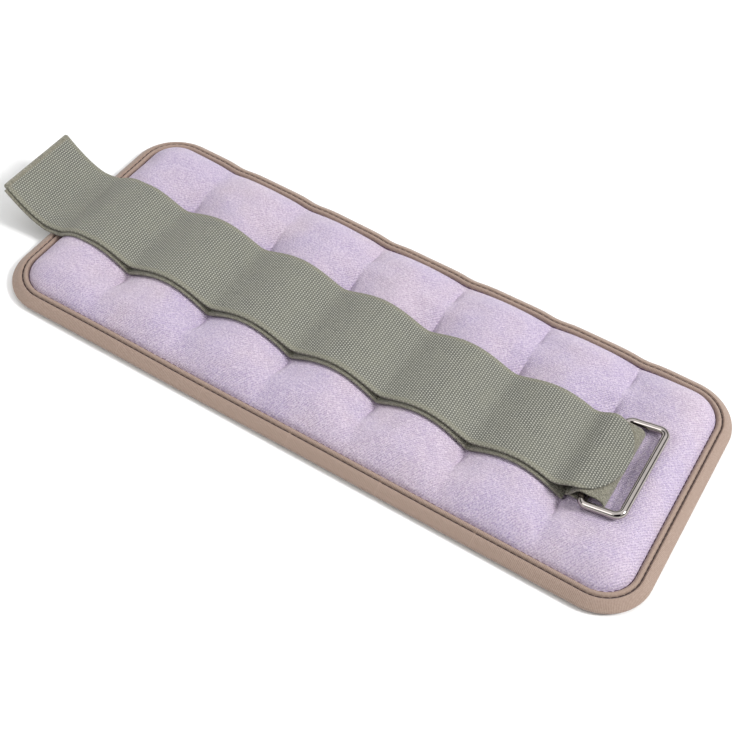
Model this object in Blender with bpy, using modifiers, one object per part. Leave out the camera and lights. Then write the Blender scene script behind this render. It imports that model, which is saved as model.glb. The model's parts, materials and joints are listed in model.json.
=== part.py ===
"""Ankle cuff weight: a quilted cuff of seven weighted pockets with a bound edge, a strap and a ring.

Frame: metres, +Z up. The origin is under the middle of the cuff, on the face that lies against the leg.
+X runs along the cuff towards the ring, +Y across it. The strap folds at the -X end.
The cuff bends at its sewn channels, so a cloth piece that crosses them is made as one link per pocket.
"""
import math

import bmesh
import bpy
from mathutils import Vector

# ---- driving dimensions, in metres ----
POCKETS = 7
PITCH = 0.050  # from one sewn channel to the next
END_MARGIN = 0.005  # past the last pocket, at each end
WIDTH = 0.150
CORNER_RADIUS = 0.026
GAP = 0.0003  # between touching pieces

PANEL = 0.0016  # thickness of the face and back cloth
EDGE_LIFT = 0.0020  # underside of the back panel along its rim
LIFT_START = 0.0095  # depth from the edge where the back panel starts to come down
LIFT_END = 0.0155  # depth from the edge where it lies flat
SEAM_DEPTH = 0.0090  # depth from the edge where the face panel starts to rise
FALL = 0.028  # width of the pocket's rounded shoulder
CREST = 0.0150  # top of a full pocket

TAPE = 0.0008  # thickness of the edge binding
TAPE_REACH = 0.0075  # how far the binding folds over the rim
FOLD_CLEAR = 0.0013  # the panels' square edges keep this clear of the binding's round fold

STRAP_WIDTH = 0.050
STRAP_OFFSET = -0.005  # the strap runs this far off the cuff's middle line
LOOP_TAPE = 0.0016
HOOK_TAPE = 0.0014
LOOP_DIP = 0.0085  # how far the loop tape sinks between two pockets
HOOK_DIP = 0.0060  # how far the hook strap sinks there
OVERHANG = 0.0255  # the strap's fold lies this far past the cuff's end
FOLD_RISE = 0.0150  # and this far above the tape where it leaves the cuff
TIP_PAST_BAR = 0.0115  # the rounded tip ends this far past the ring's hinge bar
TIP_ROUND = 0.018  # length of the rounded tip

WIRE = 0.0040  # ring wire diameter
RING_CLEAR = 0.0015  # ring opening past each edge of the strap
RING_LENGTH = 0.0205  # between the two long bars
RING_CORNER = 0.0040
BAR_PAST_CHANNEL = 0.0085  # hinge bar from the last channel
BAR_CLEAR = 0.0006  # the bar's running clearance in its tab
TAB = 0.0012  # thickness of the tab's cloth
TAB_LOOP = 0.0100  # the tab's fold lies this far past the bar
TAB_BEND = 0.0030  # length of the fold's round
TAB_RAMP = 0.0015  # the tab comes down to its sewn end over this length
TAB_SLACK = 0.0001  # extra room between the tab and the face

BAG_WALL = 0.0004
BAG_FROM_CHANNEL = 0.0055
MOUTH_SHARE = 0.04  # the cut for the bag's mouth runs out by this share of its width
FILL_CLEAR = 0.0004  # slack between the grit and its bag
BAG_FROM_EDGE = 0.0175
PANEL_STEP = 0.00625  # mesh lines on the panels, at most this far apart
BAG_STEP = 0.0098  # and on the bags
END_DEPTHS = (0.0215, 0.0185, 0.0155, 0.0125, 0.0095, 0.0065, 0.0040, 0.0020)  # mesh lines at the ends
THREAD = 0.0010  # diameter of the seam threads

# ---- derived places ----
LENGTH = POCKETS * PITCH + 2 * END_MARGIN
HALF_LENGTH = LENGTH / 2
HALF_WIDTH = WIDTH / 2
CHANNELS = [(k - POCKETS / 2) * PITCH for k in range(1, POCKETS)]
RIM_INSET = TAPE + GAP + FOLD_CLEAR
CHANNEL_TOP = 2 * PANEL + GAP  # face panel where it is sewn to the back
RIM_TOP = EDGE_LIFT + 2 * PANEL + GAP
TAPE_LOW = EDGE_LIFT - GAP - TAPE
TAPE_HIGH = RIM_TOP + 2 * GAP + TAPE
STRAP_NEAR = STRAP_OFFSET - STRAP_WIDTH / 2
STRAP_FAR = STRAP_OFFSET + STRAP_WIDTH / 2
FOLD_X = -HALF_LENGTH - OVERHANG
BAR_X = CHANNELS[-1] + BAR_PAST_CHANNEL
TIP_X = BAR_X + TIP_PAST_BAR

MAT = {
    "lilac_cloth": ((0.62, 0.52, 0.74), 0.9, 0.0),
    "taupe_tape": ((0.42, 0.31, 0.25), 0.85, 0.0),
    "sage_hook_tape": ((0.33, 0.34, 0.27), 0.8, 0.0),
    "sage_loop_pile": ((0.27, 0.26, 0.21), 0.95, 0.0),
    "nickel": ((0.70, 0.66, 0.62), 0.15, 1.0),
    "white_nylon": ((0.80, 0.80, 0.78), 0.7, 0.0),
    "iron_grit": ((0.12, 0.12, 0.13), 0.6, 0.7),
    "brown_thread": ((0.10, 0.06, 0.06), 0.8, 0.0),
}


# ---- scene helpers ----
def clear_scene():
    for obj in list(bpy.data.objects):
        bpy.data.objects.remove(obj, do_unlink=True)


def make_collection(name):
    made = bpy.data.collections.new(name)
    bpy.context.scene.collection.children.link(made)
    return made


def material(name):
    """The named Principled material, made once."""
    found = bpy.data.materials.get(name)
    if found:
        return found
    colour, roughness, metallic = MAT[name]
    made = bpy.data.materials.new(name)
    made.use_nodes = True
    shader = made.node_tree.nodes["Principled BSDF"]
    shader.inputs["Base Color"].default_value = (*colour, 1.0)
    shader.inputs["Roughness"].default_value = roughness
    shader.inputs["Metallic"].default_value = metallic
    return made


def add_object(name, data, material_name, collection):
    obj = bpy.data.objects.new(name, data)
    data.materials.append(material(material_name))
    collection.objects.link(obj)
    return obj


# ---- the cuff's shape ----
def smooth(t):
    t = min(max(t, 0.0), 1.0)
    return t * t * (3 - 2 * t)


def depth(x, y):
    """How far a point lies inside the cuff's rounded outline."""
    qx = abs(x) - (HALF_LENGTH - CORNER_RADIUS)
    qy = abs(y) - (HALF_WIDTH - CORNER_RADIUS)
    outside = math.hypot(max(qx, 0.0), max(qy, 0.0)) + min(max(qx, qy), 0.0)
    return CORNER_RADIUS - outside


def half_width_at(x, inset):
    """Half the width, at x, of the outline moved in by inset."""
    radius = CORNER_RADIUS - inset
    into_corner = abs(x) - (HALF_LENGTH - CORNER_RADIUS)
    straight = HALF_WIDTH - CORNER_RADIUS
    if into_corner <= 0:
        return straight + radius
    return straight + math.sqrt(max(radius**2 - into_corner**2, 0.0))


def fullness(x):
    """0 on a sewn channel, 1 from the middle of a pocket."""
    away = min(abs(x - channel) for channel in CHANNELS)
    return math.sin(math.pi / 2 * min(2 * away / PITCH, 1.0)) ** 0.8


def face_top(x, y):
    """Outer surface of the face panel: level on the rim, then domed over each pocket."""
    rise = min(max((depth(x, y) - SEAM_DEPTH) / FALL, 0.0), 1.0)
    shoulder = math.sin(math.pi / 2 * rise) ** 0.9
    full = fullness(x)
    inside = CHANNEL_TOP * (1 - full) + CREST * full
    return RIM_TOP * (1 - shoulder) + inside * shoulder


def back_bottom(x, y):
    """Outer surface of the back panel: flat, and lifted along the rim to make room for the binding."""
    down = (depth(x, y) - LIFT_START) / (LIFT_END - LIFT_START)
    return EDGE_LIFT * (1 - min(max(down, 0.0), 1.0))


BAR_Z = face_top(BAR_X, STRAP_OFFSET) + GAP + TAB + BAR_CLEAR + WIRE / 2
TIP_Z = BAR_Z + WIRE / 2 + BAR_CLEAR + TAB + 2 * GAP


def past_edge(x):
    """How far the strap's path has left the cuff at its folded end: 0 on the cuff, 1 at the fold."""
    return min(max((-HALF_LENGTH - x) / OVERHANG, 0.0), 1.0)


def strap_path(x, dip, height):
    """Underside of a tape laid along the pockets: it bridges the channels and curls up past the end."""
    away = min(abs(x - channel) for channel in CHANNELS)
    bridge = dip * (1 - math.sin(math.pi / 2 * min(2 * away / PITCH, 1.0)) ** 0.8)
    on_pockets = CREST - bridge
    end = smooth((-HALF_LENGTH + FALL + SEAM_DEPTH - x) / (FALL + SEAM_DEPTH))
    over_rim = TAPE_HIGH
    along = on_pockets * (1 - end) + over_rim * end
    return along + FOLD_RISE * past_edge(x) ** 1.6 + height


def loop_bottom(x):
    return strap_path(x, LOOP_DIP, GAP)


def hook_bottom(x):
    """Underside of the hook strap: on the loop tape, and up over the ring's tab at its tip."""
    on_loop = strap_path(x, HOOK_DIP, 2 * GAP + LOOP_TAPE)
    lift = smooth((x - CHANNELS[-1] + 0.010) / (BAR_PAST_CHANNEL + 0.007))
    return on_loop * (1 - lift) + TIP_Z * lift


def tip_half_width(x):
    """Half the strap's width, rounded off at its tip."""
    into = max(x - (TIP_X - TIP_ROUND), 0.0) / TIP_ROUND
    return STRAP_WIDTH / 2 * math.sqrt(max(1 - into**2.2, 0.03))


# ---- building blocks ----
def slab(name, columns, rows, limits, bottom, top, material_name, collection):
    """A closed slab over a grid in plan: x from columns, y between limits(x) at the shares in rows."""
    bm = bmesh.new()
    bmesh.ops.create_grid(bm, x_segments=len(columns) - 1, y_segments=len(rows) - 1, size=1.0)
    for vert in bm.verts:
        x = columns[round((vert.co.x + 1) / 2 * (len(columns) - 1))]
        share = rows[round((vert.co.y + 1) / 2 * (len(rows) - 1))]
        low, high = limits(x)
        y = low + (high - low) * share
        vert.co = (x, y, bottom(x, y))
    raised = bmesh.ops.extrude_face_region(bm, geom=bm.faces[:])
    for vert in (item for item in raised["geom"] if isinstance(item, bmesh.types.BMVert)):
        vert.co.z = top(vert.co.x, vert.co.y)
    bmesh.ops.recalc_face_normals(bm, faces=bm.faces[:])
    mesh = bpy.data.meshes.new(name)
    bm.to_mesh(mesh)
    bm.free()
    return add_object(name, mesh, material_name, collection)


def even(low, high, count):
    return [low + (high - low) * i / count for i in range(count + 1)]


def pocket_span(k, clear):
    """Where pocket k's own cloth begins and ends, clear of the channels beside it."""
    low = CHANNELS[k - 2] + clear if k > 1 else None
    high = CHANNELS[k - 1] - clear if k < POCKETS else None
    return low, high


def steps_in(span, step):
    """How many equal steps, none longer than step, fill a span."""
    return max(math.ceil(span / step - 0.001), 2)


def pocket_columns(k, clear, inset, step):
    """x stations over pocket k; they crowd together round the corners of an end pocket."""
    low, high = pocket_span(k, clear)
    if low is not None and high is not None:
        return even(low, high, steps_in(high - low, step))
    near = high if low is None else low
    side = -1 if low is None else 1
    corner = HALF_LENGTH - CORNER_RADIUS
    straight = even(abs(near), corner, steps_in(corner - abs(near), step))
    arc = [HALF_LENGTH - d for d in END_DEPTHS if d > inset + GAP]
    return sorted(side * x for x in [*straight, *arc, HALF_LENGTH - inset])


def width_rows(inset, depths):
    """Shares across the width with a row at each of these depths from both edges, and one in the middle."""
    full = WIDTH - 2 * inset
    near = [(d - inset) / full for d in depths]
    return near + [0.5] + [1 - share for share in reversed(near)]


def outline_limits(inset):
    return lambda x: (-half_width_at(x, inset), half_width_at(x, inset))


def straight_tube(name, start, end, diameter, material_name, collection):
    """A thread or bar: a two-point curve with a round bevel and filled ends."""
    curve = bpy.data.curves.new(name, "CURVE")
    curve.dimensions = "3D"
    curve.bevel_depth = diameter / 2
    curve.bevel_resolution = 1
    curve.use_fill_caps = True
    spline = curve.splines.new("POLY")
    spline.points.add(1)
    for point, place in zip(spline.points, (start, end)):
        point.co = (*place, 1.0)
    return add_object(name, curve, material_name, collection)


def shade_round(obj):
    obj.data.shade_smooth()
    obj.data.set_sharp_from_angle(angle=math.radians(40))


# ---- the pieces ----
def face_panel(k, parts):
    rows = width_rows(RIM_INSET, [RIM_INSET, SEAM_DEPTH, 0.0125, 0.018, 0.026, 0.038])
    columns = pocket_columns(k, GAP / 2, RIM_INSET, PANEL_STEP)
    obj = slab(
        f"face_panel_{k}", columns, rows, outline_limits(RIM_INSET),
        lambda x, y: face_top(x, y) - PANEL, face_top, "lilac_cloth", parts,
    )
    shade_round(obj)


def back_panel(k, parts):
    rows = width_rows(RIM_INSET, [RIM_INSET, LIFT_START, LIFT_END, 0.021])
    columns = pocket_columns(k, GAP / 2, RIM_INSET, PANEL_STEP)
    slab(
        f"back_panel_{k}", columns, rows, outline_limits(RIM_INSET),
        back_bottom, lambda x, y: back_bottom(x, y) + PANEL, "lilac_cloth", parts,
    )


def bag_shape(name, k, wall, mouth, material_name, collection):
    """The pillow that fills pocket k, shrunk by a wall; mouth draws its near end out to cut an opening."""
    outer = pocket_columns(k, BAG_FROM_CHANNEL, BAG_FROM_EDGE, BAG_STEP)
    middle = (outer[0] + outer[-1]) / 2
    shrink = 1 - 2 * wall / (outer[-1] - outer[0])
    columns = [middle + (x - middle) * shrink for x in outer]

    def half(x):
        return half_width_at(middle + (x - middle) / shrink, BAG_FROM_EDGE)

    def limits(x):
        return wall - half(x), half(x) - wall

    def on_pillow(x, y):
        """The place on the unshrunk pillow that this place came from."""
        across = max(y, wall - half(x)) * half(x) / (half(x) - wall)
        return middle + (x - middle) / shrink, across

    def floor(x, y):
        return back_bottom(*on_pillow(x, y)) + PANEL + GAP + wall

    def ceiling(x, y):
        return face_top(*on_pillow(x, y)) - PANEL - 2 * GAP - wall

    rows = [0.0, 0.07, 0.2, 0.5, 0.8, 0.93, 1.0]
    if mouth > 0:
        rows.insert(0, -mouth)
    return slab(name, columns, rows, limits, floor, ceiling, material_name, collection)


def inner_bag(k, parts, cutters):
    """The nylon bag that holds the grit: a thin wall all round, open where its mouth is folded over."""
    bag = bag_shape(f"inner_bag_{k}", k, 0.0, 0.0, "white_nylon", parts)
    hollow = bag_shape(f"bag_hollow_{k}", k, BAG_WALL, MOUTH_SHARE, "white_nylon", cutters)
    hollow.hide_render = True
    hollow.display_type = "WIRE"
    cut = bag.modifiers.new("hollow", "BOOLEAN")
    cut.operation = "DIFFERENCE"
    cut.object = hollow


def iron_fill(k, parts):
    bag_shape(f"iron_fill_{k}", k, BAG_WALL + FILL_CLEAR, 0.0, "iron_grit", parts)


def binding_profile(collection):
    """The folded tape's section: x across the rim, from the outer edge inwards, and y up."""
    curve = bpy.data.curves.new("binding_profile", "CURVE")
    curve.dimensions = "2D"
    half = (TAPE_HIGH - TAPE_LOW) / 2
    middle = (TAPE_HIGH + TAPE_LOW) / 2
    turns = 4

    def bend(radius, centre, angles):
        return [(centre - radius * math.cos(a), middle + radius * math.sin(a)) for a in angles]

    sweep = [math.pi / 2 * (2 * i / turns - 1) for i in range(turns + 1)]
    outer = [(TAPE_REACH, TAPE_LOW), *bend(half, half, sweep), (TAPE_REACH, TAPE_HIGH)]
    inside = bend(half - TAPE, half, sweep)
    inner = [(TAPE_REACH, TAPE_HIGH - TAPE), *reversed(inside), (TAPE_REACH, TAPE_LOW + TAPE)]
    spline = curve.splines.new("POLY")
    points = outer + inner
    spline.points.add(len(points) - 1)
    for point, (x, y) in zip(spline.points, points):
        point.co = (-x, y, 0.0, 1.0)
    spline.use_cyclic_u = True
    obj = bpy.data.objects.new("binding_profile", curve)
    obj.hide_render = True
    collection.objects.link(obj)
    return obj


def binding(name, path, profile, parts):
    """A link of the edge binding: the tape's section carried along the outer edge, then made one mesh."""
    curve = bpy.data.curves.new(f"{name}_path", "CURVE")
    curve.dimensions = "2D"
    curve.bevel_mode = "OBJECT"
    curve.bevel_object = profile
    curve.use_fill_caps = True
    spline = curve.splines.new("POLY")
    spline.points.add(len(path) - 1)
    for point, (x, y) in zip(spline.points, path):
        point.co = (x, y, 0.0, 1.0)
    guide = bpy.data.objects.new(f"{name}_path", curve)
    parts.objects.link(guide)
    swept = guide.evaluated_get(bpy.context.evaluated_depsgraph_get())
    mesh = bpy.data.meshes.new_from_object(swept)
    bpy.data.objects.remove(guide, do_unlink=True)
    bm = bmesh.new()
    bm.from_mesh(mesh)
    bmesh.ops.remove_doubles(bm, verts=bm.verts[:], dist=0.00001)
    bmesh.ops.recalc_face_normals(bm, faces=bm.faces[:])
    bm.to_mesh(mesh)
    bm.free()
    mesh.name = name
    mesh.materials.clear()
    return add_object(name, mesh, "taupe_tape", parts)


def end_path(side):
    """The outer edge round one end of the cuff, between its two outermost channels."""
    near = CHANNELS[-1] + GAP / 2
    corner_x, corner_y = HALF_LENGTH - CORNER_RADIUS, HALF_WIDTH - CORNER_RADIUS
    turns = 7
    angles = [math.pi / 2 * i / turns for i in range(turns + 1)]
    near_corner = [
        (corner_x + CORNER_RADIUS * math.sin(a), -corner_y - CORNER_RADIUS * math.cos(a))
        for a in angles
    ]
    far_corner = [(x, -y) for x, y in reversed(near_corner)]
    path = [(near, -HALF_WIDTH), *near_corner, *far_corner, (near, HALF_WIDTH)]
    if side > 0:
        return path
    return [(-x, -y) for x, y in path]


def bindings(parts, cutters):
    profile = binding_profile(cutters)
    binding("binding_left", end_path(-1), profile, parts)
    binding("binding_right", end_path(1), profile, parts)
    for k in range(2, POCKETS):
        low, high = pocket_span(k, GAP / 2)
        binding(f"binding_near_{k}", [(low, -HALF_WIDTH), (high, -HALF_WIDTH)], profile, parts)
        binding(f"binding_far_{k}", [(high, HALF_WIDTH), (low, HALF_WIDTH)], profile, parts)


def tape_link(name, columns, limits, bottom, thickness, material_name, parts):
    """One link of a tape that lies along the cuff."""
    obj = slab(
        name, columns, [0.0, 1.0], limits, lambda x, y: bottom(x),
        lambda x, y: bottom(x) + thickness, material_name, parts,
    )
    shade_round(obj)


def loop_strip(k, parts):
    low, high = pocket_span(k, GAP / 2)
    columns = even(low, high, 10) if low is not None else even(FOLD_X + THREAD / 2 + GAP, high, 22)
    tape_link(
        f"loop_strip_{k}", columns, lambda x: (STRAP_NEAR, STRAP_FAR), loop_bottom, LOOP_TAPE,
        "sage_loop_pile", parts,
    )


def hook_strap(k, parts):
    """One link of the hook strap. The last one runs on past the loop tape, loose, to the rounded tip."""
    low, high = pocket_span(k, GAP / 2)
    if low is None:
        columns = even(FOLD_X + THREAD / 2 + GAP, high, 22)
    elif k == POCKETS - 1:
        turns = 8
        bends = [math.sin(math.pi / 2 * i / turns) for i in range(1, turns + 1)]
        columns = even(low, TIP_X - TIP_ROUND, 14) + [TIP_X - TIP_ROUND + TIP_ROUND * b for b in bends]
    else:
        columns = even(low, high, 10)

    def limits(x):
        half = tip_half_width(x)
        return STRAP_OFFSET - half, STRAP_OFFSET + half

    tape_link(f"hook_strap_{k}", columns, limits, hook_bottom, HOOK_TAPE, "sage_hook_tape", parts)


def fold_seam(parts):
    """The thread that joins the hook strap to the loop tape's end, along the line where the strap folds."""
    z = (loop_bottom(FOLD_X) + hook_bottom(FOLD_X) + HOOK_TAPE) / 2
    straight_tube(
        "fold_seam", (FOLD_X, STRAP_NEAR, z), (FOLD_X, STRAP_FAR, z), THREAD, "brown_thread", parts
    )


def tab_path():
    """The tab's middle line in X and Z: from its sewn end under the bar, round the fold and back over it."""
    half = TAB / 2
    start = CHANNELS[-1] + GAP + half
    under = [
        (x, face_top(x, STRAP_OFFSET) + GAP + half + TAB_SLACK)
        for x in even(start, BAR_X + TAB_LOOP - TAB_BEND, 6)
    ]
    over_bar = BAR_Z + WIRE / 2 + BAR_CLEAR + half
    fold_x = BAR_X + TAB_LOOP
    low_z = under[-1][1]
    top = over_bar
    radius = (top - low_z) / 2
    turns = 6
    fold = []
    for i in range(1, turns + 1):
        angle = math.pi * i / turns
        fold.append((fold_x - TAB_BEND * (1 - math.sin(angle)), low_z + radius * (1 - math.cos(angle))))
    over = [(BAR_X + WIRE / 2, top), (BAR_X - WIRE / 2, top)]
    sewn_z = loop_bottom(start) + LOOP_TAPE
    sewn = [(start + TAB_RAMP, sewn_z + TAB), (start, sewn_z)]
    return under + fold + over + sewn


def ring_tab(parts):
    """The loop of pile cloth that holds the ring: a strip along the tab's path, thickened both ways."""
    path = tab_path()
    bm = bmesh.new()
    rails = [
        [bm.verts.new((x, y, z)) for x, z in path] for y in (STRAP_NEAR, STRAP_FAR)
    ]
    for i in range(len(path) - 1):
        bm.faces.new((rails[0][i], rails[0][i + 1], rails[1][i + 1], rails[1][i]))
    mesh = bpy.data.meshes.new("ring_tab")
    bm.to_mesh(mesh)
    bm.free()
    obj = add_object("ring_tab", mesh, "sage_loop_pile", parts)
    shell = obj.modifiers.new("thickness", "SOLIDIFY")
    shell.thickness = TAB
    shell.offset = 0.0


def ring_tilt():
    """The ring lies on the pocket's shoulder: the smallest tilt that clears the cloth under it."""
    steps = even(0.15, 1.0, 12)
    slopes = [
        (face_top(BAR_X + RING_LENGTH * s, STRAP_OFFSET) + GAP + WIRE / 2 - BAR_Z) / (RING_LENGTH * s)
        for s in steps
    ]
    return math.atan(max(slopes)) + math.radians(1.0)


def ring(parts):
    """The wire ring: a closed curve round a rounded rectangle, its origin on the hinge bar."""
    half_y = STRAP_WIDTH / 2 + RING_CLEAR + WIRE / 2
    turns = 5
    corners = (
        (RING_LENGTH - RING_CORNER, half_y - RING_CORNER, 0.0),
        (RING_CORNER, half_y - RING_CORNER, 0.5),
        (RING_CORNER, -half_y + RING_CORNER, 1.0),
        (RING_LENGTH - RING_CORNER, -half_y + RING_CORNER, 1.5),
    )
    points = [
        (
            x + RING_CORNER * math.cos(math.pi * (quarter + i / turns / 2)),
            y + RING_CORNER * math.sin(math.pi * (quarter + i / turns / 2)),
        )
        for x, y, quarter in corners
        for i in range(turns + 1)
    ]
    curve = bpy.data.curves.new("ring", "CURVE")
    curve.dimensions = "3D"
    curve.bevel_depth = WIRE / 2
    curve.bevel_resolution = 3
    spline = curve.splines.new("POLY")
    spline.points.add(len(points) - 1)
    for point, (x, y) in zip(spline.points, points):
        point.co = (x, y, 0.0, 1.0)
    spline.use_cyclic_u = True
    obj = add_object("ring", curve, "nickel", parts)
    obj.location = Vector((BAR_X, STRAP_OFFSET, BAR_Z))
    obj.rotation_euler = (0.0, -ring_tilt(), 0.0)


def build():
    clear_scene()
    parts = make_collection("ankle_cuff_weight")
    cutters = make_collection("cutters")
    cutters.hide_render = True
    for k in range(1, POCKETS + 1):
        face_panel(k, parts)
        back_panel(k, parts)
        inner_bag(k, parts, cutters)
        iron_fill(k, parts)
        if k < POCKETS:
            hook_strap(k, parts)
            loop_strip(k, parts)
    bindings(parts, cutters)
    fold_seam(parts)
    ring_tab(parts)
    ring(parts)


build()
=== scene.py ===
"""Looks of the ankle cuff weight: knit cloth, bound edge, hook-and-loop tapes, ring, stitches and light.

Every long cloth piece is worked out whole, then cut at the middle of each pocket, so that each part
lies over one sewn channel between two pockets.
"""

import json

import bpy
import numpy as np
from mathutils import Matrix, Vector

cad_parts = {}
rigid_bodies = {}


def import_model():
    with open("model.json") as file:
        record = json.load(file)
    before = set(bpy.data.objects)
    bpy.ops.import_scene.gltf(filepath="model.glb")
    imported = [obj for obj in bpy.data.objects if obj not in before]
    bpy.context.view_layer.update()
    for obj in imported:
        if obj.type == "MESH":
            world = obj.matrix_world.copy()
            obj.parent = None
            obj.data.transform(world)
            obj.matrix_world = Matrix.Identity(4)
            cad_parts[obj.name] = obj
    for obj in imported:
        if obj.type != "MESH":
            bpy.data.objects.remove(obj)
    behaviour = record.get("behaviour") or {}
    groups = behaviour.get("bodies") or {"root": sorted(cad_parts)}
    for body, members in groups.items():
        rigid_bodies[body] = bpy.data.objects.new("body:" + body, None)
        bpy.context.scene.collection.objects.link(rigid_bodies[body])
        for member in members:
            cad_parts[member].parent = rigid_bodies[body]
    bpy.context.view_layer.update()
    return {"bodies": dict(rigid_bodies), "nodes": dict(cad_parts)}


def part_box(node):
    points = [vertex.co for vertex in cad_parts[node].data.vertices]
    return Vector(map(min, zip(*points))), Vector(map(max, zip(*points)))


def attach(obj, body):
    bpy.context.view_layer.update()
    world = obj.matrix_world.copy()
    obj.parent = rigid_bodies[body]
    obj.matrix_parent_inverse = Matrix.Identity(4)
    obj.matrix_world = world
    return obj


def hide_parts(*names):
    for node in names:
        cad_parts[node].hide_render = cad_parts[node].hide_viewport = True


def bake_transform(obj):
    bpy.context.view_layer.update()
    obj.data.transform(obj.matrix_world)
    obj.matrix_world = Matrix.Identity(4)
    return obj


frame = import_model()

# ---- the cuff's sizes, in metres, as the frame has them ----
POCKETS, PITCH = 7, 0.050
HALF_LENGTH, HALF_WIDTH, CORNER = 0.180, 0.075, 0.026
CHANNELS = (np.arange(1, POCKETS) - POCKETS / 2) * PITCH
PANEL, EDGE_LIFT, BINDING = 0.0016, 0.0020, 0.0006
RIM_TOP, CREST, SEAM_DEPTH = 0.0055, 0.0150, 0.0090
FACE_INSET = 0.0032
TAPE_LOW, TAPE_HIGH = 0.0009, 0.0069
STRAP_MID, STRAP_HALF = -0.005, 0.025
LOOP_TAPE, HOOK_TAPE = 0.0016, 0.0014
OVERHANG, FOLD_RISE = 0.0255, 0.0150
FOLD_X = -HALF_LENGTH - OVERHANG
# how much nearer the near edge the loop tape lies, and the width of a tape's rounded selvage
LOOP_ASIDE, SELVAGE = 0.0014, 0.0008
# how far each tape sags between two pockets, and the length over which both come down at the cuff's end
LOOP_DIP, HOOK_DIP, FALL = 0.0085, 0.0060, 0.028
# the tab: thickness, half width, reach past the bar, length of the round at its fold, place of its seam
TAB, TAB_HALF, TAB_REACH, TAB_BEND, TAB_SEAM = 0.0012, 0.0246, 0.0100, 0.0032, 0.1268
# the ring: wire, length from bar to bar, corner radius, and tilt about its hinge bar in degrees
WIRE, RING_LENGTH, RING_CORNER, RING_TILT = 0.0040, 0.0205, 0.0040, 13.57
ring_low, ring_high = (np.array(corner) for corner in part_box("ring"))
BAR_X, TIP_X, TIP_ROUND = 0.1335, 0.1450, 0.018
BAR_Z, TIP_Z = 0.0143, 0.0187

# ---- how the cloth lies, in metres ----
# depth and half width of the sharp crease at a channel
CREASE, CREASE_WIDTH = 0.0018, 0.0013
# how far a channel sinks: everywhere, further by the strap, further on the far side
SLOPE_DIP, STRAP_DIP, FAR_DIP = 0.0034, 0.0054, 0.0034
# width of the round shoulder inside the bound edge
SHOULDER_RUN = 0.0165
# how far the far edge is drawn in: at a channel, and over its whole length
EDGE_DRAW, EDGE_BOW = 0.0011, 0.0018
# most that the filling lifts the face, and the number of frames it swells for
LIFT_CAP, SWELL_FRAMES = 0.0022, 18
# spacing of the mesh along the panels, the binding, the tapes and the ring
PANEL_STEP, EDGE_STEP, TAPE_STEP, RING_STEP = 0.0012, 0.0009, 0.0011, 0.0015

# ---- threads: length of a stitch, distance from one to the next, radius ----
STITCH, STITCH_PITCH, EDGE_THREAD = 0.0038, 0.0035, 0.00036
CROSS_STITCH, CROSS_PITCH, CROSS_THREAD = 0.0026, 0.0034, 0.00028

# ---- light and camera ----
FLOOR_Z, GAUGE_HEIGHT = -0.0002, 0.0245
# sine of the height above the horizon where the pale horizon turns dark, and the dark turns bright
HORIZON_ENDS, OVERHEAD_BEGINS = (0.30, 0.36), (0.54, 0.70)
# middle of the dark spot, and the cosines between which it begins
SPOT_TOWARDS, SPOT_EDGE = (0.27, -0.57, 0.78), (0.895, 0.930)
# the camera's turn about the cuff, its height above the floor and its roll, in degrees
CAMERA_ANGLES = (25.45, 51.07, 6.86)
# where the cuff's origin lies before the camera: right, down and ahead, in metres
CAMERA_OFFSET = (-0.005256, -0.012996, 0.634629)
CAMERA_LENS, CAMERA_SENSOR = 59.66, 36.0

TURN = 2 * np.pi


# ---- shape helpers ----
def arc(path):
    """Length along a path of points."""
    return np.concatenate([[0], np.cumsum(np.linalg.norm(np.diff(path, axis=0), axis=1))])


def smooth(t):
    """0 below 0, 1 above 1, and a cubic ease between."""
    t = np.clip(t, 0.0, 1.0)
    return t * t * (3 - 2 * t)


def depth(x, y):
    """How far a point lies inside the cuff's rounded outline."""
    qx = np.abs(x) - (HALF_LENGTH - CORNER)
    qy = np.abs(y) - (HALF_WIDTH - CORNER)
    outside = np.hypot(np.maximum(qx, 0), np.maximum(qy, 0)) + np.minimum(np.maximum(qx, qy), 0)
    return CORNER - outside


def half_width_at(x, inset):
    """Half the outline's width at x, once it is moved in by inset: straight, then a quarter circle."""
    into = np.maximum(np.abs(x) - (HALF_LENGTH - CORNER), 0)
    return HALF_WIDTH - CORNER + np.sqrt(np.maximum((CORNER - inset) ** 2 - into**2, 0))


def fullness(x, soft, power=0.8):
    """0 at a sewn channel and 1 mid-pocket: a sine of the distance to a power, rounded over soft."""
    away = np.min(np.abs(np.asarray(x)[..., None] - CHANNELS), axis=-1)
    eased = np.sqrt(away**2 + soft**2) - soft
    share = np.clip(eased / (np.sqrt(0.25 * PITCH**2 + soft**2) - soft), 0, 1)
    return np.sin(np.pi / 2 * share) ** power


def ripple(x, y, seed, size):
    """Gentle unevenness: a sum of six sine waves with seeded directions and phases, about size across."""
    local = np.random.default_rng(seed)
    total = np.zeros(np.broadcast(x, y).shape)
    for _ in range(6):
        angle, phase = local.uniform(0, TURN, 2)
        pace = TURN / (size * local.uniform(0.7, 1.6))
        total = total + np.sin(pace * (x * np.cos(angle) + y * np.sin(angle)) + phase)
    return total / 6


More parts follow.
